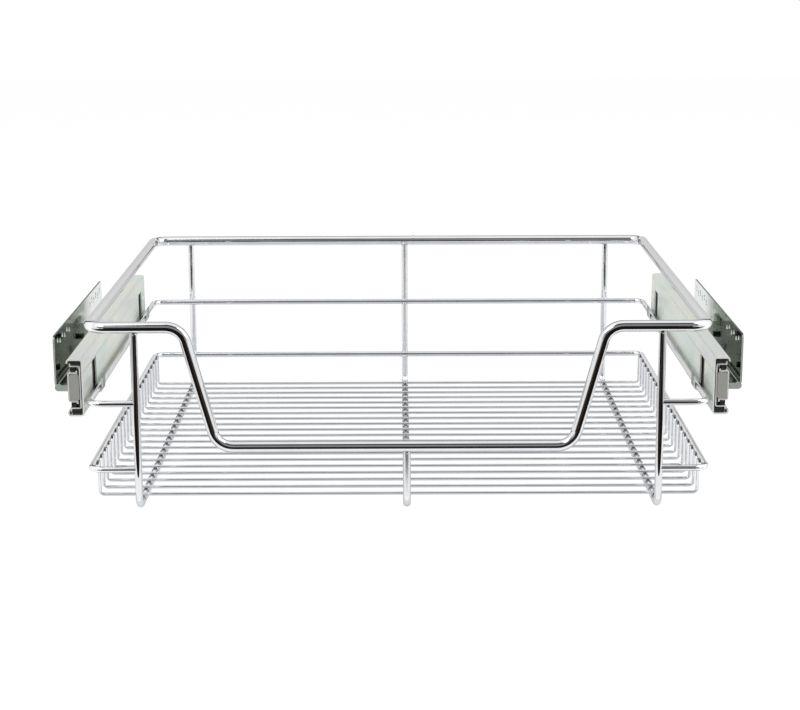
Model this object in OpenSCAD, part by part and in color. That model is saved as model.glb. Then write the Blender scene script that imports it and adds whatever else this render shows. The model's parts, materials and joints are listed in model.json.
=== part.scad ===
// Pull-out cabinet basket: a welded chrome wire basket that hangs in the lanced
// hooks of two ball-bearing slides, each carried by an adjustable wall bracket.
// Millimetres, +Z up, front toward -Y, the base wires stand on Z = 0.

/* [Top rail] */
// Rod diameter of the top rail
rail_d = 9; // [8:0.5:10]
// Half width of the rail, centre to rod centre line
rail_half_w = 239; // [225:1:240]
// Depth of the rail between the front and back centre lines
rail_depth = 394.9; // [390:0.1:420]
// Height of the rail's centre line
rail_z = 147.2; // [140:0.1:165]
// Plan corner radius of the rail's centre line
rail_corner_r = 13; // [8:1:20]
// Height of the centre line in the front dip
dip_z = 51.5; // [48:0.5:70]
// Half width of the dip's lower corner points
dip_low_half_w = 138.6; // [110:0.1:145]
// Half width of the dip's upper corner points
dip_high_half_w = 164; // [155:0.1:175]
// Sideways shift of the dip's middle
dip_shift = -2.7; // [-4:0.1:4]
// Bend radius of the dip's four bends
dip_r = 16; // [8:0.1:18]

/* [Base wires] */
// Diameter of the three U-shaped base wires
base_d = 6; // [5:0.5:7]
// Half spacing of the outer base wires
base_half_w = 203.7; // [190:0.1:215]
// Sideways offset of the centre base wire
centre_wire_x = 6.5; // [0:0.5:10]
// Centre-line bend radius of the base wires
base_bend_r = 9; // [6:1:14]
// How far the back posts stand behind the rail's centre line
post_set_back = 2; // [1:0.5:3]

/* [Tray rim and runner wire] */
// Diameter of the rim and of the runner wire
ring_d = 5; // [4:0.5:6]
// Half width of the tray rim
rim_half_w = 241.3; // [235:0.1:242]
// Height of the tray rim
rim_z = 33.3; // [25:0.1:45]
// Half width of the runner wire
runner_half_w = 241.1; // [239:0.1:241.3]
// Height of the runner wire
runner_z = 86.6; // [85:0.1:90]
// Plan corner radius of both wires
ring_corner_r = 9; // [6:1:14]

/* [Floor wires] */
// Number of U-shaped floor wires
floor_count = 20; // [16:1:24]
// Diameter of the floor wires
floor_d = 2.5; // [2:0.1:3]
// First floor wire behind the rail's front centre line
floor_first_y = 19.6; // [15:0.1:25]
// Last floor wire in front of the rail's back centre line
floor_back_gap = 17.4; // [15:0.1:25]
// Centre-line bend radius of the floor wires
floor_bend_r = 3.5; // [2.5:0.5:8]
// How far the uprights pass above the rim's centre line
floor_over_rim = 1.5; // [0.5:0.5:3]

/* [Slides] */
// Height of the drawer member's section
slide_h = 45.7; // [45:0.1:46.5]
// Thickness of the whole slide
slide_t = 12.7; // [12.7:0.1:13.5]
// Front end of the slide behind the rail's front centre line
slide_front_y = 3.4; // [2:0.1:6]
// Length of the slide, also its travel
slide_length = 350; // [345:1:355]
// Gap between the runner wire and the drawer member's web
runner_gap = 1; // [0.5:0.1:2]
// Middle of the slide above the runner wire
runner_drop = 11.95; // [11:0.05:13]
// Sheet thickness of the drawer and cabinet members
member_gauge = 1.2; // [1:0.1:1.3]
// Sheet thickness of the intermediate member
middle_gauge = 1.0; // [0.8:0.1:1.1]
// Ball diameter
ball_d = 3.97; // [3.5:0.01:4]
// Balls in each row
ball_count = 8; // [4:1:10]
// Spacing of the balls along a row
ball_pitch = 20; // [15:1:22]
// Sheet thickness of the ball cages
cage_gauge = 0.6; // [0.4:0.1:0.7]

/* [Hooks] */
// Width of each hook strip
hook_w = 12; // [8:1:16]
// Overall height of the hook's curl
hook_h = 12; // [9:0.1:13]
// Width of the window left in the web
window_w = 20; // [16:1:26]
// Height of the window left in the web
window_h = 25.5; // [14:0.5:28]
// Middle of the front hook behind the rail's front centre line
hook_front_y = 56; // [40:1:80]
// Middle of the rear hook in front of the slide's back end
hook_rear_inset = 32; // [24:0.5:60]

/* [Wall brackets] */
// Width of a bracket's base, from its inner edge to the cabinet's side wall
bracket_base_w = 23; // [22:0.5:30]
// Sheet thickness of the brackets and foot angles
bracket_gauge = 1.5; // [1.2:0.1:2]
// Front end of a wall bracket
bracket_front_y = 81; // [75:1:90]
// Length of a wall bracket
bracket_length = 240; // [230:1:250]
// Underside of the bracket's base above the slide's lower edge
bracket_lift = 4; // [3.8:0.1:6]
// Height of the bracket's wall plate
bracket_h = 42.5; // [38:0.5:50]
// Depth of the turned-down end lips
lip_h = 5.2; // [4:0.1:5.2]
// Wall screw hole diameter
wall_hole_d = 5.5; // [4:0.5:6]
// Wall screw holes in each end group
wall_holes = 6; // [2:2:6]
// Spacing of the wall screw holes along the bracket
wall_hole_pitch = 10.6; // [9:0.1:12]

/* [Hidden] */

chrome = [0.86, 0.87, 0.88];
slide_zinc = [0.80, 0.83, 0.80];
bracket_zinc = [0.33, 0.36, 0.31];
satin_grey = [0.55, 0.55, 0.52];
ball_steel = [0.75, 0.75, 0.76];
dark_steel = [0.30, 0.30, 0.30];

round_fn = 24;
elbow_fn = 36;
fine_fn = 24;
eps = 0.01;
weld_sink = 0.12;
cope_depth = 1.8;
rail_slip = 0.04;
bend_reach = 0.3;
seam_x = 15;
seam_w = 3;
seam_rise = 0.5;

// Where the back of the basket lies
post_y = rail_depth + post_set_back;
ring_back_y = post_y - (base_d + ring_d) / 2 + weld_sink;
mid_y = (post_y + base_d / 2 - rail_d / 2) / 2;

// Floor wires rest on the base wires, inside the rim
floor_last_y = rail_depth - floor_back_gap;
floor_z = base_d + floor_d / 2 - weld_sink;
floor_half_w = rim_half_w - (ring_d + floor_d) / 2 + weld_sink;
floor_pitch = (floor_last_y - floor_first_y) / (floor_count - 1);

// Slide section, stacked outward from the drawer member's web
run_gap = 0.18;
web_gap = 0.2;
slide_web_x = runner_half_w + ring_d / 2 + runner_gap;
slide_z = runner_z + runner_drop;
slide_back_y = slide_front_y + slide_length;
member_r = 2.4;
lip_drop = 3.45;
outer_cage_x = member_gauge + web_gap;
middle_x = outer_cage_x + cage_gauge + web_gap;
inner_cage_x = middle_x + middle_gauge + web_gap;
cabinet_end_x = inner_cage_x + cage_gauge + 0.6;
cabinet_face_x = slide_t - 0.3;
outer_ball_z = slide_h / 2 - member_gauge - run_gap - ball_d / 2;
middle_half_h = outer_ball_z - ball_d / 2 - run_gap;
inner_ball_z = middle_half_h - middle_gauge - run_gap - ball_d / 2;
cabinet_half_h = inner_ball_z - ball_d / 2 - run_gap;
outer_ball_x = slide_t / 2 - 0.2;
inner_ball_x = outer_ball_x + 1.8;
outer_cage_end_x = outer_ball_x + ball_d / 2 + 1.2;
middle_end_x = outer_cage_end_x + 1.4;
inner_cage_end_x = inner_ball_x + ball_d / 2 + 0.8;
middle_lip = 1.6;
cabinet_lip = 1.2;
ball_hole_d = ball_d + 0.3;
cage_length = ball_pitch * ball_count;
cage_mid_y = slide_front_y + slide_length / 2;
member_inset = 2;
web_hole_d = 3;
web_hole_y = slide_back_y - 10;
web_hole_z = [6, -17.6];

// Hooks under the runner wire, measured from the web and the slide's middle
wire_x = runner_half_w - slide_web_x;
hook_floor_z = runner_z - ring_d / 2 - slide_z;
hook_r = ring_d / 2 + 0.3;
hook_rear_y = slide_back_y - hook_rear_inset;

// Stop block in the front end of the cabinet member
block_front = 1;
block_nose = 5;
block_length = 14;
block_gap = 0.3;
block_h = 2 * (cabinet_half_h - member_gauge - block_gap);
block_r = 2;

// Foot angle between the cabinet member and the bracket's base
bracket_z = slide_z - slide_h / 2 + bracket_lift;
foot_inset_y = 30;
foot_front_y = bracket_front_y + foot_inset_y;
foot_length = bracket_length - 2 * foot_inset_y;
foot_z = bracket_z + bracket_gauge;
foot_x = slide_web_x + cabinet_face_x;
foot_w = 19;
foot_top_z = slide_z + 10.5;
foot_bend_r = 2;
screw_x = foot_x + foot_w / 2 + 2;
screw_inset_y = 30;
screw_ys = [foot_front_y + screw_inset_y, foot_front_y + foot_length - screw_inset_y];
rivet_inset_y = 18;
rivet_ys = [foot_front_y + rivet_inset_y, foot_front_y + foot_length - rivet_inset_y];
screw_d = 4;
screw_hole_d = 4.3;
screw_head_d = 8;
screw_head_h = 2.6;
recess_w = 1.2;
nut_af = 7;
nut_h = 3.2;
nut_bore_d = screw_d + 0.1;
rivet_d = 4;
rivet_hole_d = 4.1;
rivet_head_d = 7;
rivet_head_h = 1;

// Bracket base and holes
base_inner_x = foot_x + bracket_gauge + 0.5;
wall_half_w = base_inner_x + bracket_base_w;
bracket_bend_r = 3;
bracket_back_y = bracket_front_y + bracket_length;
bracket_top_z = bracket_z + bracket_h;
plate_corner_r = 4;
adjust_slot_w = 4.5;
adjust_slot_l = 14;
wall_hole_inset = 14;
wall_hole_drop = [6.8, 9.3];

// ---- Helpers ----

function unit(v) = v / norm(v);
function way(p, i) = unit(p[(i + 1) % len(p)] - p[(i + len(p)) % len(p)]);
function turn(p, i) = acos(way(p, i - 1) * way(p, i));
function has_bend(p, i, closed) = closed || (i > 0 && i < len(p) - 1);
function trim(p, r, i, closed) = has_bend(p, i, closed) ? r[i] * tan(turn(p, i) / 2) : 0;

// Puts its child at o, with its axes along x, y and z
module aim(o, x, y, z)
  multmatrix([
    [x[0], y[0], z[0], o[0]],
    [x[1], y[1], z[1], o[1]],
    [x[2], y[2], z[2], o[2]],
    [0, 0, 0, 1]])
    children();

// Straight length of wire
module straight(a, b, d) {
  z = unit(b - a);
  x = abs(z[0]) > 0.9 ? [0, 1, 0] : unit(cross([1, 0, 0], z));
  y = cross(z, x);
  aim(a, cross(y, z), y, z) cylinder(h = norm(b - a), d = d, $fn = round_fn);
}

// Bend at point i of the path p
module elbow(p, r, i, d) {
  u = way(p, i - 1);
  v = way(p, i);
  n = unit(v - u * (u * v));
  start = p[i] - u * r * tan(turn(p, i) / 2);
  aim(start + n * r, -n, u, cross(-n, u))
    rotate_extrude(angle = turn(p, i), $fn = elbow_fn)
      translate([r, 0]) circle(d = d, $fn = round_fn);
}

// Round wire bent along the points p with a bend radius at each point. With slip,
// its straight lengths are that much thinner and reach a little into its bends.
module bent_wire(p, r, d, closed = false, slip = 0) {
  last = closed ? len(p) - 1 : len(p) - 2;
  for (i = [0 : last]) {
    j = (i + 1) % len(p);
    w = way(p, i);
    reach = slip > 0 ? bend_reach : 0;
    a = p[i] + w * (trim(p, r, i, closed) - (has_bend(p, i, closed) ? reach : 0));
    b = p[j] - w * (trim(p, r, j, closed) - (has_bend(p, j, closed) ? reach : 0));
    straight(a, b, d - slip);
  }
  for (i = [0 : len(p) - 1])
    if (has_bend(p, i, closed)) elbow(p, r[i], i, d);
}

// Moves the basket's own coordinates onto the part's centre
module placed() translate([0, -mid_y, 0]) children();

// Right side as drawn, left side mirrored
module on_side(left) {
  if (left) mirror([1, 0, 0]) placed() children();
  else placed() children();
}

// Rectangle with four rounded corners
module rounded(x0, x1, y0, y1, r) {
  translate([x0 + r, y0]) square([x1 - x0 - 2 * r, y1 - y0]);
  translate([x0, y0 + r]) square([x1 - x0, y1 - y0 - 2 * r]);
  for (x = [x0 + r, x1 - r], y = [y0 + r, y1 - r])
    translate([x, y]) circle(r = r, $fn = fine_fn);
}

// Runs an X-Z section from y0 to y1
module run(y0, y1)
  translate([0, y1, 0]) rotate([90, 0, 0]) linear_extrude(y1 - y0) children();

// Puts a slide part against the web, at the slide's middle height
module at_slide() translate([slide_web_x, 0, slide_z]) children();

// ---- Welded wires ----

module top_rail() placed() {
  x = rail_half_w;
  p = [[-x, rail_depth, rail_z], [x, rail_depth, rail_z], [x, 0, rail_z],
       [dip_shift + dip_high_half_w, 0, rail_z], [dip_shift + dip_low_half_w, 0, dip_z],
       [dip_shift - dip_low_half_w, 0, dip_z], [dip_shift - dip_high_half_w, 0, rail_z],
       [-x, 0, rail_z]];
  r = [rail_corner_r, rail_corner_r, rail_corner_r, dip_r, dip_r, dip_r, dip_r, rail_corner_r];
  color(chrome) {
    bent_wire(p, r, rail_d, true, rail_slip);
    translate([seam_x - seam_w / 2, rail_depth, rail_z]) rotate([0, 90, 0])
      cylinder(h = seam_w, d = rail_d + seam_rise, $fn = round_fn);
  }
}

// U-shaped wire whose ends are coped to the rail above them
module base_wire(x, front_z) placed() {
  z = base_d / 2;
  top = rail_d / 2 - cope_depth;
  p = [[x, 0, front_z - top], [x, 0, z], [x, post_y, z], [x, post_y, rail_z - top]];
  color(chrome) difference() {
    bent_wire(p, [0, base_bend_r, base_bend_r, 0], base_d);
    cope([x, 0, front_z]);
    cope([x, rail_depth, rail_z]);
  }
}

module cope(at)
  translate(at - [base_d, 0, 0]) rotate([0, 90, 0])
    cylinder(h = 2 * base_d, d = rail_d - 2 * weld_sink, $fn = round_fn);

// U-shaped ring, open at the front, butted to the front posts
module ring(half_w, z) placed() {
  b = base_half_w;
  w = half_w;
  p = [[-b, 0, z], [-w, 0, z], [-w, ring_back_y, z], [w, ring_back_y, z], [w, 0, z], [b, 0, z]];
  q = ring_corner_r;
  color(chrome) difference() {
    bent_wire(p, [0, q, q, q, q, 0], ring_d);
    for (x = [-b, b])
      translate([x, 0, z - ring_d])
        cylinder(h = 2 * ring_d, d = base_d - 2 * weld_sink, $fn = round_fn);
  }
}

module floor_wires() placed() {
  w = floor_half_w;
  top = rim_z + floor_over_rim;
  color(chrome)
    for (i = [0 : floor_count - 1]) {
      y = floor_first_y + i * floor_pitch;
      bent_wire([[-w, y, top], [-w, y, floor_z], [w, y, floor_z], [w, y, top]],
                [0, floor_bend_r, floor_bend_r, 0], floor_d);
    }
}

// ---- Slides ----

// Big C section on the basket's side, open toward the cabinet
module drawer_section() {
  g = member_gauge;
  h = slide_h / 2;
  difference() {
    rounded(0, slide_t, -h, h, member_r);
    rounded(g, slide_t - g, g - h, h - g, member_r - g);
    translate([slide_t - g - eps, lip_drop - h])
      square([g + 2 * eps, 2 * (h - lip_drop)]);
  }
}

// Curl under the runner wire, as seen from the front
module hook_section() {
  g = member_gauge;
  z = hook_floor_z;
  translate([wire_x, z - g]) square([g - wire_x, g]);
  intersection() {
    translate([wire_x, z + hook_r]) difference() {
      circle(r = hook_r + g, $fn = round_fn);
      circle(r = hook_r, $fn = round_fn);
    }
    translate([wire_x - hook_r - 2 * g, z - 2 * g])
      square([hook_r + 2 * g, hook_r + 2 * g]);
  }
  translate([wire_x - hook_r - g, z + hook_r]) square([g, hook_h - g - hook_r]);
}

module drawer_member(left) on_side(left) {
  g = member_gauge;
  color(slide_zinc) at_slide() {
    difference() {
      run(slide_front_y, slide_back_y) drawer_section();
      for (y = [hook_front_y, hook_rear_y])
        translate([-g, y - window_w / 2, hook_floor_z - g])
          cube([3 * g, window_w, window_h + g]);
      for (z = web_hole_z)
        translate([-g, web_hole_y, z]) rotate([0, 90, 0])
          cylinder(h = 3 * g, d = web_hole_d, $fn = fine_fn);
    }
  }
}

// Hooks that stand in the lower edges of the web's windows
module wire_hooks(left) on_side(left) color(slide_zinc) at_slide()
  for (y = [hook_front_y, hook_rear_y])
    run(y - hook_w / 2, y + hook_w / 2) hook_section();

// C section whose flanges run between the two ball rows
module middle_section() {
  g = middle_gauge;
  h = middle_half_h;
  e = middle_end_x;
  difference() {
    rounded(middle_x, e + 2 * member_r, -h, h, member_r - g);
    rounded(middle_x + g, e + 4 * member_r, g - h, h - g, g / 2);
    translate([e, -h - eps]) square([3 * member_r, 2 * (h + eps)]);
  }
  for (s = [-1, 1]) {
    translate([e - g, s > 0 ? h - g : -h - middle_lip])
      square([g, g + middle_lip]);
    translate([e - g / 2, s * (h + middle_lip)]) circle(d = g, $fn = fine_fn);
  }
}

module intermediate_member(left) on_side(left)
  color(slide_zinc) at_slide()
    run(slide_front_y + member_inset, slide_back_y - member_inset) middle_section();

// Smallest member, its web on the cabinet's side
module cabinet_section() {
  g = member_gauge;
  h = cabinet_half_h;
  f = cabinet_face_x;
  c = cabinet_end_x;
  difference() {
    rounded(c - 2 * member_r, f, -h, h, 1.5 * g);
    rounded(c - 4 * member_r, f - g, g - h, h - g, g / 2);
    translate([c - 3 * member_r, -h - eps]) square([3 * member_r, 2 * (h + eps)]);
  }
  for (s = [-1, 1])
    translate([c, s > 0 ? h - g : -h - cabinet_lip]) square([g, g + cabinet_lip]);
}

module cabinet_member(left) on_side(left)
  color(slide_zinc) difference() {
    at_slide()
      run(slide_front_y + member_inset, slide_back_y - member_inset) cabinet_section();
    rivet_holes();
  }

// U-shaped cage that carries an upper and a lower row of balls
module cage(x0, x1, ball_x, ball_z) {
  h = ball_z + cage_gauge / 2;
  at_slide() difference() {
    run(cage_mid_y - cage_length / 2, cage_mid_y + cage_length / 2) difference() {
      translate([x0, -h]) square([x1 - x0, 2 * h]);
      translate([x0 + cage_gauge, cage_gauge - h])
        square([x1 - x0, 2 * (h - cage_gauge)]);
    }
    for (i = [0 : ball_count - 1])
      translate([ball_x, ball_y(i), -slide_h / 2])
        cylinder(h = slide_h, d = ball_hole_d, $fn = fine_fn);
  }
}

function ball_y(i) = cage_mid_y + (i - (ball_count - 1) / 2) * ball_pitch;

module balls(ball_x, ball_z)
  at_slide()
    for (i = [0 : ball_count - 1], s = [-1, 1])
      translate([ball_x, ball_y(i), s * ball_z]) sphere(d = ball_d, $fn = fine_fn);

module outer_ball_cage(left) on_side(left)
  color(satin_grey) cage(outer_cage_x, outer_cage_end_x, outer_ball_x, outer_ball_z);

module inner_ball_cage(left) on_side(left)
  color(satin_grey) cage(inner_cage_x, inner_cage_end_x, inner_ball_x, inner_ball_z);

module outer_balls(left) on_side(left)
  color(ball_steel) balls(outer_ball_x, outer_ball_z);

module inner_balls(left) on_side(left)
  color(ball_steel) balls(inner_ball_x, inner_ball_z);

// Grey block that plugs the cabinet member's front end
module stop_block(left) on_side(left) {
  y0 = slide_front_y + block_front;
  x1 = cabinet_face_x - member_gauge;
  x0 = inner_cage_x;
  x2 = cabinet_end_x + member_gauge;
  h = block_h / 2;
  color(satin_grey) at_slide() {
    run(y0, y0 + block_nose) rounded(x0, x1, -h, h, block_r);
    run(y0 + block_nose - eps, y0 + block_length) rounded(x2, x1, -h, h, block_r);
  }
}

// ---- Foot angles, brackets and fasteners ----

module rivet_holes()
  for (y = rivet_ys)
    translate([foot_x - 2 * member_gauge, y, slide_z]) rotate([0, 90, 0])
      cylinder(h = 2 * member_gauge + 2 * bracket_gauge, d = rivet_hole_d, $fn = fine_fn);

module foot_angle(left) on_side(left) {
  g = bracket_gauge;
  color(bracket_zinc) difference() {
    run(foot_front_y, foot_front_y + foot_length) difference() {
      rounded(foot_x, foot_x + 2 * foot_w, foot_z, foot_top_z + foot_w, foot_bend_r);
      rounded(foot_x + g, foot_x + 3 * foot_w, foot_z + g, foot_top_z + 2 * foot_w,
              foot_bend_r - g);
      translate([foot_x + foot_w, foot_z - eps]) square([2 * foot_w, 3 * foot_w]);
      translate([foot_x - eps, foot_top_z]) square([3 * foot_w, 2 * foot_w]);
    }
    for (y = screw_ys)
      translate([screw_x, y, foot_z - g])
        cylinder(h = 3 * g, d = screw_hole_d, $fn = fine_fn);
    rivet_holes();
  }
}

module slide_rivets(left) on_side(left)
  color(dark_steel)
    for (y = rivet_ys)
      translate([foot_x, y, slide_z]) rotate([0, 90, 0]) {
        translate([0, 0, -member_gauge - rivet_head_h])
          cylinder(h = rivet_head_h, d = rivet_head_d, $fn = fine_fn);
        translate([0, 0, -member_gauge - rivet_head_h])
          cylinder(h = member_gauge + bracket_gauge + 2 * rivet_head_h, d = rivet_d, $fn = fine_fn);
        translate([0, 0, bracket_gauge])
          cylinder(h = rivet_head_h, d = rivet_head_d, $fn = fine_fn);
      }

// Base and wall plate as one bent sheet, seen from the front
module bracket_section() {
  g = bracket_gauge;
  w = wall_half_w;
  difference() {
    rounded(base_inner_x - bracket_h, w, bracket_z, bracket_top_z + bracket_h, bracket_bend_r);
    rounded(base_inner_x - 2 * bracket_h, w - g, bracket_z + g, bracket_top_z + 2 * bracket_h,
            bracket_bend_r - g);
    translate([base_inner_x - 2 * bracket_h, bracket_z - eps])
      square([2 * bracket_h, 3 * bracket_h]);
    translate([base_inner_x - eps, bracket_top_z]) square([bracket_h, 2 * bracket_h]);
  }
}

// Turned-down lip across one end of the base
module end_lip(y0)
  run(y0, y0 + bracket_gauge) {
    r = bracket_bend_r;
    z = bracket_z + bracket_gauge - lip_h;
    translate([base_inner_x, z]) square([wall_half_w - base_inner_x - r, lip_h]);
    translate([wall_half_w - r, z + r]) circle(r = r, $fn = fine_fn);
  }

// Rounds an upper corner of the wall plate, s is 1 at the front and -1 at the back
module plate_corner(y, s)
  translate([wall_half_w - 2 * bracket_gauge, y, bracket_top_z]) rotate([90, 0, 90])
    linear_extrude(3 * bracket_gauge) difference() {
      translate([s > 0 ? -eps : -plate_corner_r, -plate_corner_r])
        square([plate_corner_r + eps, plate_corner_r + eps]);
      translate([s * plate_corner_r, -plate_corner_r])
        circle(r = plate_corner_r, $fn = fine_fn);
    }

module wall_hole(y, i)
  translate([wall_half_w - 2 * bracket_gauge, y, bracket_top_z - wall_hole_drop[i % 2]])
    rotate([0, 90, 0])
      cylinder(h = 3 * bracket_gauge, d = wall_hole_d, $fn = fine_fn);

module wall_bracket(left) on_side(left) {
  half_slot = (adjust_slot_l - adjust_slot_w) / 2;
  color(bracket_zinc) difference() {
    union() {
      run(bracket_front_y, bracket_back_y) bracket_section();
      end_lip(bracket_front_y);
      end_lip(bracket_back_y - bracket_gauge);
    }
    plate_corner(bracket_front_y, 1);
    plate_corner(bracket_back_y, -1);
    for (i = [0 : wall_holes - 1]) {
      wall_hole(bracket_front_y + wall_hole_inset + i * wall_hole_pitch, i);
      wall_hole(bracket_back_y - wall_hole_inset - i * wall_hole_pitch, i);
    }
    for (y = screw_ys) {
      for (s = [-1, 1])
        translate([screw_x + s * half_slot, y, bracket_z - bracket_gauge])
          cylinder(h = 3 * bracket_gauge, d = adjust_slot_w, $fn = fine_fn);
      translate([screw_x - half_slot, y - adjust_slot_w / 2, bracket_z - bracket_gauge])
        cube([2 * half_slot, adjust_slot_w, 3 * bracket_gauge]);
    }
  }
}

module adjusting_screws(left) on_side(left)
  color(dark_steel)
    for (y = screw_ys)
      translate([screw_x, y, foot_z + bracket_gauge]) difference() {
        union() {
          cylinder(h = screw_head_h, d = screw_head_d, $fn = fine_fn);
          translate([0, 0, -2 * bracket_gauge - nut_h])
            cylinder(h = 2 * bracket_gauge + nut_h + eps, d = screw_d, $fn = fine_fn);
        }
        for (a = [0, 90])
          rotate([0, 0, a]) translate([-screw_head_d / 4, -recess_w / 2, screw_head_h / 2])
            cube([screw_head_d / 2, recess_w, screw_head_h]);
      }

module adjusting_nuts(left) on_side(left)
  color(dark_steel)
    for (y = screw_ys)
      translate([screw_x, y, bracket_z - nut_h]) difference() {
        cylinder(h = nut_h, d = nut_af / cos(30), $fn = 6);
        translate([0, 0, -eps])
          cylinder(h = nut_h + 2 * eps, d = nut_bore_d, $fn = fine_fn);
      }

// ---- The assembly ----

top_rail();
ring(runner_half_w, runner_z);  // runner_wire
ring(rim_half_w, rim_z);  // tray_rim
base_wire(-base_half_w, rail_z);  // left_base_wire
base_wire(centre_wire_x, dip_z);  // centre_base_wire
base_wire(base_half_w, rail_z);  // right_base_wire
floor_wires();
drawer_member(true);  // left_drawer_member
drawer_member(false);  // right_drawer_member
wire_hooks(true);  // left_wire_hooks
wire_hooks(false);  // right_wire_hooks
intermediate_member(true);  // left_intermediate_member
intermediate_member(false);  // right_intermediate_member
cabinet_member(true);  // left_cabinet_member
cabinet_member(false);  // right_cabinet_member
outer_ball_cage(true);  // left_outer_ball_cage
outer_ball_cage(false);  // right_outer_ball_cage
outer_balls(true);  // left_outer_balls
outer_balls(false);  // right_outer_balls
inner_ball_cage(true);  // left_inner_ball_cage
inner_ball_cage(false);  // right_inner_ball_cage
inner_balls(true);  // left_inner_balls
inner_balls(false);  // right_inner_balls
stop_block(true);  // left_stop_block
stop_block(false);  // right_stop_block
foot_angle(true);  // left_foot_angle
foot_angle(false);  // right_foot_angle
slide_rivets(true);  // left_slide_rivets
slide_rivets(false);  // right_slide_rivets
wall_bracket(true);  // left_wall_bracket
wall_bracket(false);  // right_wall_bracket
adjusting_screws(true);  // left_adjusting_screws
adjusting_screws(false);  // right_adjusting_screws
adjusting_nuts(true);  // left_adjusting_nuts
adjusting_nuts(false);  // right_adjusting_nuts
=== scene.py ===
"""Dresses the pull-out cabinet basket: chrome wires, zinc slides and brackets, in a white studio."""
import json
import logging
import math
from dataclasses import dataclass, field
from enum import Enum

import bmesh
import bpy
from mathutils import Matrix, Vector, noise

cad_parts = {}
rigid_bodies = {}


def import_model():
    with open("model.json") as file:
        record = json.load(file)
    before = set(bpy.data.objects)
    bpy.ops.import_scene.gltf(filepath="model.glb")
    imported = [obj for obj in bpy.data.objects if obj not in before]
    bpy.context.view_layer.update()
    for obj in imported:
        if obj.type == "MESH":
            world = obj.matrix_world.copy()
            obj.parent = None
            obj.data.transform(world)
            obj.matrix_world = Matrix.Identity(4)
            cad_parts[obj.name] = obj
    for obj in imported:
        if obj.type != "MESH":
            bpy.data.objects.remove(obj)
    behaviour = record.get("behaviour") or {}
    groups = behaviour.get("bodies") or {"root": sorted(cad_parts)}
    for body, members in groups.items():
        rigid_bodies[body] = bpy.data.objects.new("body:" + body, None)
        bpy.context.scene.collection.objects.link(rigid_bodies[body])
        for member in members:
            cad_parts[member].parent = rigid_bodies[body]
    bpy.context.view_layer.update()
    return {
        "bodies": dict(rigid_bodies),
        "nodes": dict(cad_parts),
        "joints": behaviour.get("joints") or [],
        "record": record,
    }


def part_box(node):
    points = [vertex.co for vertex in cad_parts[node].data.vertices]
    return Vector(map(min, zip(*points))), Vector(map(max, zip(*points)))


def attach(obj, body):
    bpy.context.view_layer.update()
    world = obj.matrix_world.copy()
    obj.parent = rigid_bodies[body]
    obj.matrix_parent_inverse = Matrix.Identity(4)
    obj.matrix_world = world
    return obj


LOG = logging.getLogger("basket")

MM = 0.001
SIDES = {"left": -1.0, "right": 1.0}
SIGNS = (-1.0, 1.0)

Span = tuple[float, float]
Triple = tuple[float, float, float]
Socket = bpy.types.NodeSocket

# Painted highlight: the brighter colour of the ring's side bars and the base wires' feet.
PAINTED_HIGHLIGHT_BAR = (0.97, 0.97, 0.98)
CUT_STEEL = (0.86, 0.87, 0.85)
# Painted on the brackets: a pale rear as a lighter reflection, then a grey front edge and a near-black top edge as
# shade.
PAINTED_PALE_REAR_ZINC = (0.62, 0.66, 0.63)
PAINTED_SHADE_FRONT = (0.44, 0.48, 0.44)
PAINTED_SHADE_TOP = (0.05, 0.07, 0.06)
SILVER = (0.76, 0.77, 0.79)
PALE_SILVER = (0.82, 0.83, 0.85)


class Look(Enum):
    """The surfaces of the basket, its slides and its brackets."""

    CHROME_WIRE = "chrome_wire"
    CHROME_RING = "chrome_ring"
    CHROME_BASE = "chrome_base"
    CHROME_SATIN = "chrome_satin"
    WELD_PAINTED_SHADE = "chrome_weld"
    SLIDE_ZINC = "slide_zinc"
    SLIDE_INNER = "slide_inner"
    HOOK_ZINC = "hook_zinc"
    BRACKET_ZINC = "bracket_zinc"
    CAGE_STEEL = "cage_steel"
    BALL_STEEL = "ball_steel"
    FASTENER_ZINC = "fastener_zinc"
    GREY_PLASTIC = "grey_plastic"
    BLACK_PLASTIC = "black_plastic"


class Region(Enum):
    """The places on the metal whose colour differs from the rest: painted highlights on the side bars and feet,
    painted shade on the brackets' front and top edges, a painted pale reflection on the brackets' rear, and bare
    steel on cut ends.
    """

    SIDE_BARS = "Side"
    BASE_FEET = "Base"
    CUT_ENDS = "Ends"
    BRACKET_FRONT = "Front"
    BRACKET_TOP = "Tops"
    BRACKET_REAR = "Rear"


def grey(level: float) -> tuple[float, float, float, float]:
    """Gives the opaque grey of a level."""
    return (level, level, level, 1.0)


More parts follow.
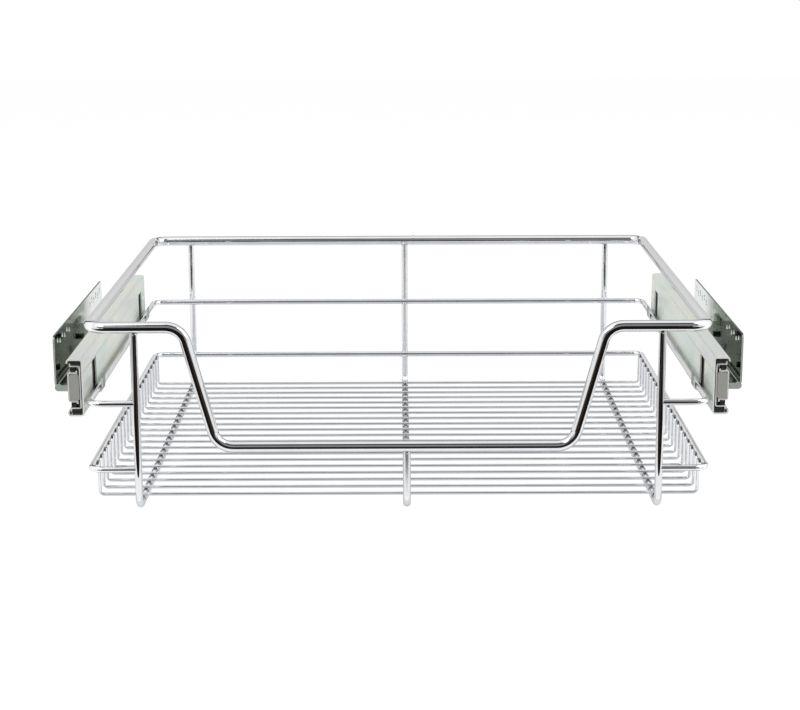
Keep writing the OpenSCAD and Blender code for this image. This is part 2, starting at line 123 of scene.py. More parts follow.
class NodeTree:
    """Adds and links the nodes of one tree."""

    def __init__(self, tree: bpy.types.NodeTree) -> None:
        """Keeps the tree."""
        self.tree = tree

    def feed(self, end: Socket, value: object) -> None:
        """Links a socket to an input, or sets the input to a plain value.

        Args:
            end: the input.
            value: an output socket, a number or a tuple of numbers.
        """
        if isinstance(value, bpy.types.NodeSocket):
            self.tree.links.new(value, end)
        else:
            end.default_value = value

    def add(self, kind: str, **values: object) -> bpy.types.Node:
        """Adds a node and sets its properties, or sets or links its inputs.

        Args:
            kind: the node's Blender type name.
            values: property names, or input names with spaces written as underscores.

        Returns:
            The new node.
        """
        node = self.tree.nodes.new(kind)
        for name, value in values.items():
            if hasattr(node, name):
                setattr(node, name, value)
            else:
                self.feed(node.inputs[name.replace("_", " ")], value)
        return node

    def group(self, tree: bpy.types.NodeTree, **values: object) -> bpy.types.NodeOutputs:
        """Places a node group.

        Args:
            tree: the group.
            values: its inputs.

        Returns:
            Its outputs, by name.
        """
        return self.add("ShaderNodeGroup", node_tree=tree, **values).outputs

    def maths(self, operation: str, *values: object) -> Socket:
        """Works out a number.

        Args:
            operation: the Math node's operation, such as MULTIPLY.
            values: its inputs in order, each a socket or a number.

        Returns:
            The result.
        """
        node = self.add("ShaderNodeMath", operation=operation)
        for end, value in zip(node.inputs, values):
            self.feed(end, value)
        return node.outputs[0]

    def mask(self, value: Socket, span: Span) -> Socket:
        """Turns a value into a soft mask.

        Args:
            value: the value.
            span: where the mask is 0, and where it is 1.

        Returns:
            The mask.
        """
        node = self.add("ShaderNodeMapRange", interpolation_type="SMOOTHSTEP", Value=value, From_Min=span[0],
                        From_Max=span[1])
        return node.outputs["Result"]

    def wide_mask(self, value: Socket, span: Span) -> Socket:
        """Makes the same soft mask on both sides of zero.

        Args:
            value: the value.
            span: the distances from zero at which the mask is 0 and 1.

        Returns:
            The mask.
        """
        return self.mask(self.maths("ABSOLUTE", value), span)

    def colours(self, value: Socket, bands: tuple[tuple[float, Triple], ...]) -> Socket:
        """Colours a mask by bands.

        Args:
            value: the mask.
            bands: each band's place from 0 to 1, and its colour.

        Returns:
            The colour.
        """
        node = self.add("ShaderNodeValToRGB", Fac=value)
        stops = node.color_ramp.elements
        stops[0].position, stops[1].position = bands[0][0], bands[-1][0]
        for place, _ in bands[1:-1]:
            stops.new(place)
        for stop, (_, shade) in zip(stops, bands):
            stop.color = (*shade, 1.0)
        return node.outputs["Color"]

    def swap(self, mask: Socket, colour: Socket, other: Triple) -> Socket:
        """Turns a colour into another one where a mask is 1.

        Args:
            mask: the mask.
            colour: the colour where the mask is 0.
            other: the colour where the mask is 1.

        Returns:
            The mixed colour.
        """
        node = self.add("ShaderNodeMix", data_type="VECTOR")
        # The node keeps one pair of inputs for every kind of data, and a vector's are these.
        factor, one, two = (node.inputs[index] for index in (0, 4, 5))
        self.feed(factor, mask)
        self.feed(one, colour)
        self.feed(two, other)
        return node.outputs[1]

    def mix(self, mask: Socket, one: Socket, two: Socket) -> Socket:
        """Mixes two shaders.

        Args:
            mask: the share of the second one.
            one: the first shader.
            two: the second shader.

        Returns:
            The mixed shader.
        """
        node = self.add("ShaderNodeMixShader")
        for end, value in zip(node.inputs, (mask, one, two)):
            self.feed(end, value)
        return node.outputs[0]

    def seen(self) -> Socket:
        """Tells the rays that look from the rays that light.

        Returns:
            1 for camera, glossy and transmission rays, otherwise 0.
        """
        path = self.add("ShaderNodeLightPath").outputs
        looking = self.maths("MAXIMUM", path["Is Camera Ray"], path["Is Glossy Ray"])
        return self.maths("MAXIMUM", looking, path["Is Transmission Ray"])


class EffectGroup(NodeTree):
    """A node group that several materials share, with named inputs and outputs."""

    def __init__(self, name: str, outputs: dict[str, str], **inputs: float | None) -> None:
        """Makes the empty group.

        Args:
            name: the group's name.
            outputs: its outputs' names and kinds, Float or Color.
            inputs: its inputs' names, with a default for a number and None for a vector.
        """
        super().__init__(bpy.data.node_groups.new(name, "ShaderNodeTree"))
        for key, value in inputs.items():
            kind = "Vector" if value is None else "Float"
            end = self.tree.interface.new_socket(key, in_out="INPUT", socket_type=f"NodeSocket{kind}")
            if value is not None:
                end.default_value = value
        for key, kind in outputs.items():
            self.tree.interface.new_socket(key, in_out="OUTPUT", socket_type=f"NodeSocket{kind}")
        self.given = self.add("NodeGroupInput").outputs
        self.result = self.add("NodeGroupOutput").inputs


@dataclass(frozen=True)
class CloudyPlating:
    """Cloudy plating: a slow mottle and a fine orange-peel height.

    Attributes:
        size: how fine the mottle is.
        fine: how fine the orange peel is.
    """

    size: float = 40.0
    fine: float = 900.0

    def group(self) -> bpy.types.NodeTree:
        """Builds the group.

        Returns:
            The group, with outputs Mottle (0 to 1) and Height.
        """
        g = EffectGroup("plating_clouds", {"Mottle": "Float", "Height": "Float"}, Vector=None, Size=self.size,
                        Fine=self.fine)
        place, size, fine = g.given["Vector"], g.given["Size"], g.given["Fine"]
        slow = g.add("ShaderNodeTexNoise", Vector=place, Scale=size, Detail=3.0, Roughness=0.6)
        peel = g.add("ShaderNodeTexNoise", Vector=place, Scale=fine, Detail=2.0, Roughness=0.5)
        g.feed(g.result["Mottle"], slow.outputs["Fac"])
        g.feed(g.result["Height"], peel.outputs["Fac"])
        return g.tree


@dataclass(frozen=True)
class RolledSheet:
    """Rolled sheet: long streaks that run front to back, and a shallow step along the web.

    Lengths are in metres.

    Attributes:
        width: how narrow the streaks are.
        squash: how much the pattern is drawn out, by axis.
        middle: height of the web's middle.
        half: half the height of the web's sunk band.
        soft: where the band's edge starts and ends, from its own line.
    """

    width: float = 260.0
    squash: Triple = (1.0, 0.012, 1.0)
    middle: float = 98.5 * MM
    half: float = 11.8 * MM
    soft: Span = (-0.7 * MM, 0.7 * MM)

    def group(self) -> bpy.types.NodeTree:
        """Builds the group.

        Returns:
            The group, with outputs Streak (0 to 1), Height and Step.
        """
        g = EffectGroup("rolling_streaks", {"Streak": "Float", "Height": "Float", "Step": "Float"},
                        Vector=None, Width=self.width, Middle=self.middle, Half=self.half)
        drawn = g.add("ShaderNodeMapping", Vector=g.given["Vector"], Scale=self.squash)
        grain = g.add("ShaderNodeTexNoise", Vector=drawn.outputs["Vector"], Scale=g.given["Width"],
                      Detail=2.0, Roughness=0.5)
        g.feed(g.result["Streak"], grain.outputs["Fac"])
        g.feed(g.result["Height"], grain.outputs["Fac"])
        place = g.add("ShaderNodeSeparateXYZ", Vector=g.given["Vector"]).outputs
        away = g.maths("ABSOLUTE", g.maths("SUBTRACT", place["Z"], g.given["Middle"]))
        past = g.maths("SUBTRACT", away, g.given["Half"])
        g.feed(g.result["Step"], g.mask(past, self.soft))
        return g.tree


@dataclass(frozen=True)
class PassivatedTint:
    """Passivated zinc: slow pale green, straw and lilac tints.

    Attributes:
        stretch: how the pattern is stretched, by axis.
        bands: the tints and their places.
    """

    stretch: Triple = (1.0, 0.45, 1.3)
    bands: tuple[tuple[float, Triple], ...] = (
        (0.30, (0.84, 0.93, 0.87)), (0.44, (0.97, 1.0, 0.96)), (0.53, (1.0, 0.99, 0.90)),
        (0.62, (0.99, 0.97, 0.98)), (0.74, (0.90, 0.95, 0.93)))

    def group(self) -> bpy.types.NodeTree:
        """Builds the group.

        Returns:
            The group, with output Tint, a colour near white.
        """
        g = EffectGroup("passivation_tint", {"Tint": "Color"}, Vector=None)
        drawn = g.add("ShaderNodeMapping", Vector=g.given["Vector"], Scale=self.stretch)
        slow = g.add("ShaderNodeTexNoise", Vector=drawn.outputs["Vector"], Scale=21.0, Detail=2.0,
                     Distortion=0.6)
        g.feed(g.result["Tint"], g.colours(slow.outputs["Fac"], self.bands))
        return g.tree


@dataclass(frozen=True)
class RegionMasks:
    """Masks by place and facing. Every span says where its mask is 0 and where it is 1.

    Lengths are in metres.

    Attributes:
        side_bars: distance of the long side bars from the middle.
        above_feet: height at which the base wires' feet end.
        facing: how squarely a face looks along an axis.
        past_front: place just behind the brackets' front edges.
        bracket_top: height of the brackets' top edges.
        painted_pale_rear: place from which the brackets' rear ends are painted pale, a painted lighter reflection.
        wall_plates: distance of the brackets' wall plates from the middle.
    """

    side_bars: Span = (232.5 * MM, 236.5 * MM)
    above_feet: Span = (6.5 * MM, 11.0 * MM)
    facing: Span = (0.62, 0.86)
    past_front: Span = (-115.0 * MM, -112.0 * MM)
    bracket_top: Span = (119.0 * MM, 120.5 * MM)
    painted_pale_rear: Span = (20.0 * MM, 70.0 * MM)
    wall_plates: Span = (272.0 * MM, 278.0 * MM)

    def group(self) -> bpy.types.NodeTree:
        """Builds the group.

        Returns:
            The group, with one output (0 to 1) for each Region.
        """
        g = EffectGroup("regions", {region.value: "Float" for region in Region}, Vector=None, Normal=None)
        place = g.add("ShaderNodeSeparateXYZ", Vector=g.given["Vector"]).outputs
        face = g.add("ShaderNodeSeparateXYZ", Vector=g.given["Normal"]).outputs
        ends = g.wide_mask(face["Y"], self.facing)
        before = g.maths("SUBTRACT", 1.0, g.mask(place["Y"], self.past_front))
        up, high = g.mask(face["Z"], self.facing), g.mask(place["Z"], self.bracket_top)
        rear, plate = g.mask(place["Y"], self.painted_pale_rear), g.wide_mask(place["X"], self.wall_plates)
        # Side bars and feet take a painted highlight; the brackets' front and top edges take painted shade and
        # their rear a painted pale reflection.
        masks = {
            Region.SIDE_BARS: g.wide_mask(place["X"], self.side_bars),
            Region.BASE_FEET: g.maths("SUBTRACT", 1.0, g.mask(place["Z"], self.above_feet)),
            Region.CUT_ENDS: ends,
            Region.BRACKET_FRONT: g.maths("MULTIPLY", ends, before),
            Region.BRACKET_TOP: g.maths("MULTIPLY", up, high),
            Region.BRACKET_REAR: g.maths("MULTIPLY", rear, plate),
        }
        for region, mask in masks.items():
            g.feed(g.result[region.value], mask)
        return g.tree


class SharedEffects:
    """The node groups that the finishes share."""

    def __init__(self) -> None:
        """Builds each group once."""
        self.plating = CloudyPlating().group()
        self.rolling = RolledSheet().group()
        self.tint = PassivatedTint().group()
        self.regions = RegionMasks().group()


def new_look(name: str) -> tuple[bpy.types.Material, NodeTree, bpy.types.Node]:
    """Makes a material with nothing but its output.

    Args:
        name: the material's name.

    Returns:
        The material, its node tree and its output node.
    """
    mat = bpy.data.materials.new(name)
    mat.use_nodes = True
    mat.node_tree.nodes.clear()
    t = NodeTree(mat.node_tree)
    return mat, t, t.add("ShaderNodeOutputMaterial")


def new_object(name: str, bm: bmesh.types.BMesh, look: bpy.types.Material) -> bpy.types.Object:
    """Turns a finished bmesh into an object at the origin.

    Args:
        name: the object's name.
        bm: the bmesh, which is freed.
        look: its material.

    Returns:
        The object.
    """
    mesh = bpy.data.meshes.new(name)
    bm.to_mesh(mesh)
    bm.free()
    mesh.materials.append(look)
    obj = bpy.data.objects.new(name, mesh)
    bpy.context.scene.collection.objects.link(obj)
    return obj


@dataclass(frozen=True)
class PlatedFinish:
    """A plated or bare metal surface.

    Attributes:
        look: the surface that it is.
        low: colour in the mottle's darker clouds.
        high: colour in its lighter clouds.
        rough: lowest and highest roughness.
        bump: strength of the fine height.
        wave: strength of the slow height, as in drawn wire or thin sheet.
        edge: the metal's edge tint, which darkens the outlines of round wires.
        bright: region of long bars and feet that get a painted highlight, a brighter colour.
        streaks: whether long rolling streaks and the web's step are added.
        sheared: whether it is sheet, with bright cut ends.
        bracket: whether it is a bracket, with a duller top edge painted near black as shade, a front edge painted
            grey as shade, and a rear painted pale as a lighter reflection.
        tinted: whether passivation tints are added.
        size: how fine the mottle is.
        clouds: the part of the mottle's range that the colours span.
        cloud_rough: the part that the roughness spans.
        film: how dull the film on a sheet is, from 0, bare, to 1, as dull as a cut end.
        cut_rough: how much rougher a cut end is.
        cut_metal: how much less metallic it is.
        depths: depths of the fine height, of the slow one and of the web's step.
        step: strength of the web's step.
    """

    look: Look
    low: Triple
    high: Triple
    rough: Span
    bump: float = 0.0
    wave: float = 0.0
    edge: float = 1.0
    bright: Region | None = None
    streaks: bool = False
    sheared: bool = False
    bracket: bool = False
    tinted: bool = False
    size: float = 40.0
    clouds: Span = (0.32, 0.68)
    cloud_rough: Span = (0.3, 0.7)
    film: float = 0.5
    cut_rough: float = 0.35
    cut_metal: float = 0.75
    depths: Triple = (0.1 * MM, 1.0 * MM, 0.6 * MM)
    step: float = 0.5

    def material(self, shared: SharedEffects) -> bpy.types.Material:
        """Builds the material.

        Args:
            shared: the shared node groups.

        Returns:
            The material.
        """
        mat, t, out = new_look(f"{self.look.value}_look")
        skin = t.add("ShaderNodeBsdfPrincipled", Metallic=1.0, Specular_Tint=grey(self.edge))
        place = t.add("ShaderNodeTexCoord").outputs["Object"]
        clouds = t.group(shared.plating, Vector=place, Size=self.size)
        mask = clouds["Mottle"]
        heights = [(self.bump, clouds["Height"]), (self.wave, clouds["Mottle"])]
        if self.streaks:
            lines = t.group(shared.rolling, Vector=place)
            mask = t.maths("MULTIPLY", t.maths("ADD", lines["Streak"], mask), 0.5)
            heights = [(self.bump, lines["Height"]), (self.wave, clouds["Mottle"]), (self.step, lines["Step"])]
        colour = t.colours(mask, ((self.clouds[0], self.low), (self.clouds[1], self.high)))
        rough = t.add("ShaderNodeMapRange", Value=mask, From_Min=self.cloud_rough[0], From_Max=self.cloud_rough[1],
                      To_Min=self.rough[0], To_Max=self.rough[1]).outputs["Result"]
        if self.tinted:
            dyed = t.add("ShaderNodeVectorMath", operation="MULTIPLY")
            t.feed(dyed.inputs[0], colour)
            t.feed(dyed.inputs[1], t.group(shared.tint, Vector=place)["Tint"])
            colour = dyed.outputs[0]
        if self.bright or self.sheared:
            normal = t.add("ShaderNodeNewGeometry").outputs["Normal"]
            masks = t.group(shared.regions, Vector=place, Normal=normal)
            for region, other in self.region_colours():
                colour = t.swap(masks[region.value], colour, other)
            if self.sheared:
                rough = self.dull_ends(t, masks, skin, rough)
        t.feed(skin.inputs["Base Color"], colour)
        t.feed(skin.inputs["Roughness"], rough)
        self.raise_heights(t, skin, heights)
        t.feed(out.inputs["Surface"], skin.outputs["BSDF"])
        return mat

    def region_colours(self) -> list[tuple[Region, Triple]]:
        """Lists the regions that have a colour of their own.

        Returns:
            Each region with its colour, in the order in which one is laid over the other.
        """
        rows = []
        # The brackets' pale rear is a painted lighter reflection.
        if self.bracket:
            rows.append((Region.BRACKET_REAR, PAINTED_PALE_REAR_ZINC))
        # The bars' and feet's brighter colour is a painted highlight.
        if self.bright:
            rows.append((self.bright, PAINTED_HIGHLIGHT_BAR))
        if self.sheared:
            rows.append((Region.CUT_ENDS, CUT_STEEL))
        # Painted shade: the brackets' grey front edge and near-black top edge.
        if self.bracket:
            rows += [(Region.BRACKET_FRONT, PAINTED_SHADE_FRONT), (Region.BRACKET_TOP, PAINTED_SHADE_TOP)]
        return rows

    def dull_ends(self, t: NodeTree, masks: bpy.types.NodeOutputs, skin: bpy.types.Node, rough: Socket) -> Socket:
        """Makes cut ends, and a bracket's top edge or a sheet's whole film, less metallic and rougher.

        Args:
            t: the material's tree.
            masks: the region masks.
            skin: the metal shader.
            rough: the roughness of the rest.

        Returns:
            The roughness with the ends' own.
        """
        other = masks[Region.BRACKET_TOP.value] if self.bracket else self.film
        dull = t.maths("MAXIMUM", masks[Region.CUT_ENDS.value], other)
        t.feed(skin.inputs["Metallic"], t.maths("MULTIPLY_ADD", dull, -self.cut_metal, 1.0))
        return t.maths("MULTIPLY_ADD", dull, self.cut_rough, rough)

    def raise_heights(self, t: NodeTree, skin: bpy.types.Node, heights: list[tuple[float, Socket]]) -> None:
        """Chains the heights into the metal's normal.

        Args:
            t: the material's tree.
            skin: the metal shader.
            heights: each height's strength and its socket.
        """
        normal = None
        for (strength, level), depth in zip(heights, self.depths):
            if strength > 0.0:
                bump = t.add("ShaderNodeBump", Strength=strength, Distance=depth, Height=level)
                if normal:
                    t.feed(bump.inputs["Normal"], normal)
                normal = bump.outputs["Normal"]
        if normal:
            t.feed(skin.inputs["Normal"], normal)


@dataclass(frozen=True)
class PlasticFinish:
    """A moulded plastic with a faint grain.

    Attributes:
        look: the surface that it is.
        low: colour in the grain's darker clouds.
        high: colour in its lighter clouds.
        rough: its roughness.
        bump: strength of the grain.
        depth: depth of the grain.
    """

    look: Look
    low: Triple
    high: Triple
    rough: float = 0.42
    bump: float = 0.3
    depth: float = 0.1 * MM

    def material(self, shared: SharedEffects) -> bpy.types.Material:
        """Builds the material.

        Args:
            shared: the shared node groups.

        Returns:
            The material.
        """
        mat, t, out = new_look(f"{self.look.value}_look")
        grain = t.group(shared.plating, Vector=t.add("ShaderNodeTexCoord").outputs["Object"])
        bump = t.add("ShaderNodeBump", Strength=self.bump, Distance=self.depth, Height=grain["Height"])
        colour = t.colours(grain["Mottle"], ((0.0, self.low), (1.0, self.high)))
        skin = t.add("ShaderNodeBsdfPrincipled", Roughness=self.rough, Base_Color=colour,
                     Normal=bump.outputs["Normal"])
        t.feed(out.inputs["Surface"], skin.outputs["BSDF"])
        return mat


CHROME_ROUGH = (0.025, 0.05)
FINISHES = (
    PlatedFinish(Look.CHROME_WIRE, SILVER, PALE_SILVER, CHROME_ROUGH, bump=0.008, wave=0.02, edge=0.34),
    # The ring's long side bars and the base wires' feet are painted brighter: a painted highlight.
    PlatedFinish(Look.CHROME_RING, SILVER, PALE_SILVER, CHROME_ROUGH, bump=0.008, wave=0.02, edge=0.60,
                 bright=Region.SIDE_BARS),
    PlatedFinish(Look.CHROME_BASE, SILVER, PALE_SILVER, CHROME_ROUGH, bump=0.008, wave=0.02, edge=0.80,
                 bright=Region.BASE_FEET),
    # The centre base wire is rougher, and its paler colour is painted light.
    PlatedFinish(Look.CHROME_SATIN, (0.84, 0.85, 0.86), (0.92, 0.92, 0.93), (0.26, 0.36), bump=0.01, wave=0.03,
                 edge=0.50, bright=Region.BASE_FEET),
    # The welds' near-black colour is painted shade and shadow where the wires cross.
    PlatedFinish(Look.WELD_PAINTED_SHADE, (0.07, 0.08, 0.09), (0.22, 0.23, 0.25), (0.10, 0.25), bump=0.2, wave=0.1,
                 size=400.0),
    PlatedFinish(Look.SLIDE_ZINC, (0.66, 0.69, 0.67), (0.79, 0.82, 0.79), (0.13, 0.22), bump=0.012, wave=0.05,
                 streaks=True, sheared=True, tinted=True, size=18.0),
    # The inner members' near-black colour is partly greased steel and partly painted shade of the slides' hollows.
    PlatedFinish(Look.SLIDE_INNER, (0.06, 0.07, 0.06), (0.15, 0.16, 0.14), (0.18, 0.30), bump=0.02, wave=0.04,
                 streaks=True, sheared=True, size=24.0),
    PlatedFinish(Look.HOOK_ZINC, (0.50, 0.54, 0.52), (0.66, 0.70, 0.67), (0.08, 0.16), bump=0.01, wave=0.05,
                 edge=0.22, sheared=True, tinted=True, size=60.0),
    # The brackets' near-black colour is a painted dark reflection: the dark room that the plates mirror is painted
    # into the zinc.
    PlatedFinish(Look.BRACKET_ZINC, (0.07, 0.09, 0.07), (0.24, 0.28, 0.22), (0.04, 0.09), bump=0.01, wave=0.22,
                 sheared=True, bracket=True, tinted=True, size=26.0),
    # The cages' dark colour is partly greased steel and partly painted shade in the ball tracks.
    PlatedFinish(Look.CAGE_STEEL, (0.10, 0.10, 0.10), (0.20, 0.20, 0.19), (0.25, 0.38), bump=0.05),
    PlatedFinish(Look.BALL_STEEL, (0.62, 0.62, 0.63), (0.78, 0.78, 0.79), (0.04, 0.08), bump=0.01),
    PlatedFinish(Look.FASTENER_ZINC, (0.30, 0.31, 0.29), (0.46, 0.47, 0.44), (0.18, 0.30), bump=0.04, tinted=True),
    PlasticFinish(Look.GREY_PLASTIC, (0.30, 0.30, 0.28), (0.36, 0.36, 0.34)),
    PlasticFinish(Look.BLACK_PLASTIC, (0.010, 0.011, 0.010), (0.030, 0.031, 0.030)),
)

# Nodes whose finish differs from the rest of their record slot, by name without the side.
VARIANTS = {
    "top_rail": Look.CHROME_RING, "runner_wire": Look.CHROME_RING, "tray_rim": Look.CHROME_RING,
    "base_wire": Look.CHROME_BASE, "centre_base_wire": Look.CHROME_SATIN,
    "intermediate_member": Look.SLIDE_INNER, "wire_hooks": Look.HOOK_ZINC,
}


@dataclass
class DressedPart:
    """Gives every CAD node its finish.

    Attributes:
        frame: the loaded frame.
        mats: the materials, by the look that they give.
    """

    frame: dict
    mats: dict[Look, bpy.types.Material] = field(default_factory=dict)

    def make_materials(self) -> None:
        """Builds the materials once."""
        shared = SharedEffects()
        for finish in FINISHES:
            self.mats[finish.look] = finish.material(shared)
        LOG.info("%d finishes", len(self.mats))

    def dress_nodes(self) -> None:
        """Puts on every node its record slot's finish or its own variant of it."""
        for part in self.frame["record"]["subparts"]:
            kind = part["node"].removeprefix("left_").removeprefix("right_")
            look = VARIANTS.get(kind, Look(part["material_slot"]))
            self.dress(self.frame["nodes"][part["node"]], self.mats[look])

    @staticmethod
    def dress(node: bpy.types.Object, mat: bpy.types.Material) -> None:
        """Puts one material in every slot of a CAD node.

        Args:
            node: the CAD node's object.
            mat: the material.
        """
        if not node.material_slots:
            node.data.materials.append(mat)
        for slot in node.material_slots:
            slot.material = mat


@dataclass(frozen=True)
class Card:
    """A flat card that only reflections see.

    Attributes:
        name: its name.
        size: its width and height.
        at: its middle.
        shade: its colour.
        turn: its rotation.
    """

    name: str
    size: Span
    at: Triple
    shade: Triple
    turn: Triple = (0.0, 0.0, 0.0)

    def mirrored(self) -> "Card":
        """Gives the left one of a card on the right.

        Returns:
            The card on the left.
        """
        (x, y, z), (tilt, lean, spin) = self.at, self.turn
        return Card(self.name.replace("right", "left"), self.size, (-x, y, z), self.shade, (tilt, lean, -spin))


@dataclass(frozen=True)
class Lamp:
    """A square soft lamp.

    Attributes:
        name: its name.
        at: where it stands.
        power: its power in watts.
        side: its width and height.
    """

    name: str
    at: Triple
    power: float
    side: float = 1.2


LAMPS = (Lamp("key_light", (-0.9, -1.0, 1.6), 14.0), Lamp("fill_light", (1.2, -0.6, 1.2), 8.0))
UPRIGHT = (math.pi / 2, 0.0, 0.0)
REAR_TURN = (math.pi / 2, 0.0, -math.radians(42))
CARD_BLACK, CARD_BROWN, CARD_DARK = (0.012, 0.009, 0.007), (0.040, 0.029, 0.022), (0.07, 0.072, 0.075)
CARD_GREY, CARD_SOFT, CARD_PALE = (0.28, 0.285, 0.29), (0.46, 0.46, 0.47), (0.72, 0.74, 0.76)
REAR_GREY, REAR_DARK = (0.14, 0.15, 0.16), (0.10, 0.11, 0.12)
MIDDLE_CARDS = (
    Card("front_floor", (0.92, 1.62), (0.0, -1.09, 0.003), CARD_BLACK),
    Card("front_brown", (0.30, 1.62), (0.0, -1.09, 0.0033), CARD_BROWN),
    Card("front_low", (1.10, 0.40), (0.0, -1.90, 0.20), CARD_BLACK, UPRIGHT),
    Card("front_high", (3.6, 1.20), (0.0, -1.90, 1.00), CARD_GREY, UPRIGHT),
    Card("front_ceiling", (3.6, 1.15), (0.0, -1.325, 1.60), CARD_DARK),
    Card("under_floor", (0.50, 0.41), (0.0, 0.0, 0.0005), CARD_PALE),
    Card("rear_high", (3.2, 0.75), (0.0, 1.40, 1.25), REAR_GREY, UPRIGHT),
)
RIGHT_CARDS = (
    Card("floor_right", (0.84, 1.62), (0.88, -1.09, 0.003), CARD_SOFT),
    Card("low_right", (0.75, 0.40), (0.925, -1.90, 0.20), CARD_SOFT, UPRIGHT),
    Card("rear_right", (0.40, 1.2), (1.15, 1.25, 0.6), REAR_DARK, REAR_TURN),
)


@dataclass(frozen=True)
class Studio:
    """White studio with dark cards that draw the chrome's core lines.

    Attributes:
        camera_at: the camera's place.
        pitch: how far it looks down.
        yaw: how far it looks aside.
        roll: how far it is tilted.
        lens: its focal length in millimetres.
        sensor: its sensor's width in millimetres.
        floor_side: the floor's width and depth.
        floor_grey: the floor's grey as it lights the basket.
        seen_grey: its grey where it is looked at, which carries the shadow.
        seen_glow: its own light there.
        room_light: strength of the surroundings' light.
        aim: the point that the lamps are aimed at.
    """

    camera_at: Triple = (0.0006, -1.5488, 0.4443)
    pitch: float = 0.2322
    yaw: float = 0.0006
    roll: float = 0.0034
    lens: float = 81.0
    sensor: float = 36.0
    floor_side: float = 8.0
    floor_grey: float = 0.80
    seen_grey: float = 0.16
    seen_glow: float = 0.90
    room_light: float = 0.55
    aim: Triple = (0.0, 0.0, 0.08)

    def build(self) -> None:
        """Sets up the whole studio."""
        self.camera()
        self.floor()
        self.world()
        for lamp in LAMPS:
            self.lamp(lamp)
        for card in (*MIDDLE_CARDS, *(card.mirrored() for card in RIGHT_CARDS), *RIGHT_CARDS):
            self.card(card)
        LOG.info("studio ready")

    def camera(self) -> None:
        """Places the camera."""
        data = bpy.data.cameras.new("view")
        data.lens = self.lens
        data.sensor_width = self.sensor
        data.sensor_fit = "HORIZONTAL"
        data.clip_start = 0.01
        cam = bpy.data.objects.new("view", data)
        cam.location = self.camera_at
        tilt = Matrix.Rotation(math.pi / 2 - self.pitch, 3, "X") @ Matrix.Rotation(-self.roll, 3, "Z")
        cam.rotation_euler = (Matrix.Rotation(-self.yaw, 3, "Z") @ tilt).to_euler()
        bpy.context.scene.collection.objects.link(cam)
        bpy.context.scene.camera = cam

    def floor(self) -> None:
        """Adds the pale floor."""
        mat, t, out = new_look("floor_paper")
        lighting = t.add("ShaderNodeBsdfDiffuse", Color=grey(self.floor_grey))
        shaded = t.add("ShaderNodeBsdfDiffuse", Color=grey(self.seen_grey))
        glow = t.add("ShaderNodeEmission", Color=grey(1.0), Strength=self.seen_glow)
        both = t.add("ShaderNodeAddShader")
        t.feed(both.inputs[0], shaded.outputs["BSDF"])
        t.feed(both.inputs[1], glow.outputs["Emission"])
        t.feed(out.inputs["Surface"], t.mix(t.seen(), lighting.outputs["BSDF"], both.outputs[0]))
        self.sheet("floor", (self.floor_side, self.floor_side), mat)

    def world(self) -> None:
        """Sets the white surroundings."""
        world = bpy.data.worlds.new("white_room")
        bpy.context.scene.world = world
        world.use_nodes = True
        world.node_tree.nodes.clear()
        t = NodeTree(world.node_tree)
        soft = t.add("ShaderNodeBackground", Color=grey(1.0), Strength=self.room_light)
        white = t.add("ShaderNodeBackground", Color=grey(1.0), Strength=1.0)
        out = t.add("ShaderNodeOutputWorld")
        t.feed(out.inputs["Surface"], t.mix(t.seen(), soft.outputs[0], white.outputs[0]))

    def lamp(self, lamp: Lamp) -> None:
        """Puts up one lamp and aims it at the basket.

        Args:
            lamp: the lamp.
        """
        data = bpy.data.lights.new(lamp.name, "AREA")
        data.size = lamp.side
        data.energy = lamp.power
        obj = bpy.data.objects.new(lamp.name, data)
        obj.location = lamp.at
        obj.rotation_euler = (Vector(self.aim) - Vector(lamp.at)).to_track_quat("-Z", "Y").to_euler()
        bpy.context.scene.collection.objects.link(obj)

    def card(self, card: Card) -> None:
        """Puts up one card.

        Args:
            card: the card.
        """
        mat, t, out = new_look(card.name)
        glow = t.add("ShaderNodeEmission", Color=(*card.shade, 1.0), Strength=1.0)
        t.feed(out.inputs["Surface"], glow.outputs["Emission"])
        obj = self.sheet(card.name, card.size, mat)
        obj.location = card.at
        obj.rotation_euler = card.turn
        obj.visible_camera = False
        obj.visible_diffuse = False
        obj.visible_shadow = False

    @staticmethod
    def sheet(name: str, size: Span, look: bpy.types.Material) -> bpy.types.Object:
        """Makes a flat rectangle.

        Args:
            name: its name.
            size: its width and height.
            look: its material.

        Returns:
            The rectangle.
        """
        bm = bmesh.new()
        bmesh.ops.create_grid(bm, x_segments=1, y_segments=1, size=0.5)
        bmesh.ops.scale(bm, vec=(*size, 1.0), verts=bm.verts)
        return new_object(name, bm, look)


@dataclass(frozen=True)
class Bead:
    """One squeezed weld where two wires cross.

    Attributes:
        at: its middle in metres.
        half: its half sizes in millimetres.
        along: the direction that its first half size points in.
        rings: how many bands of faces it has from pole to pole.
    """

    at: Triple
    half: Triple
    along: Triple = (1.0, 0.0, 0.0)
    rings: int = 6


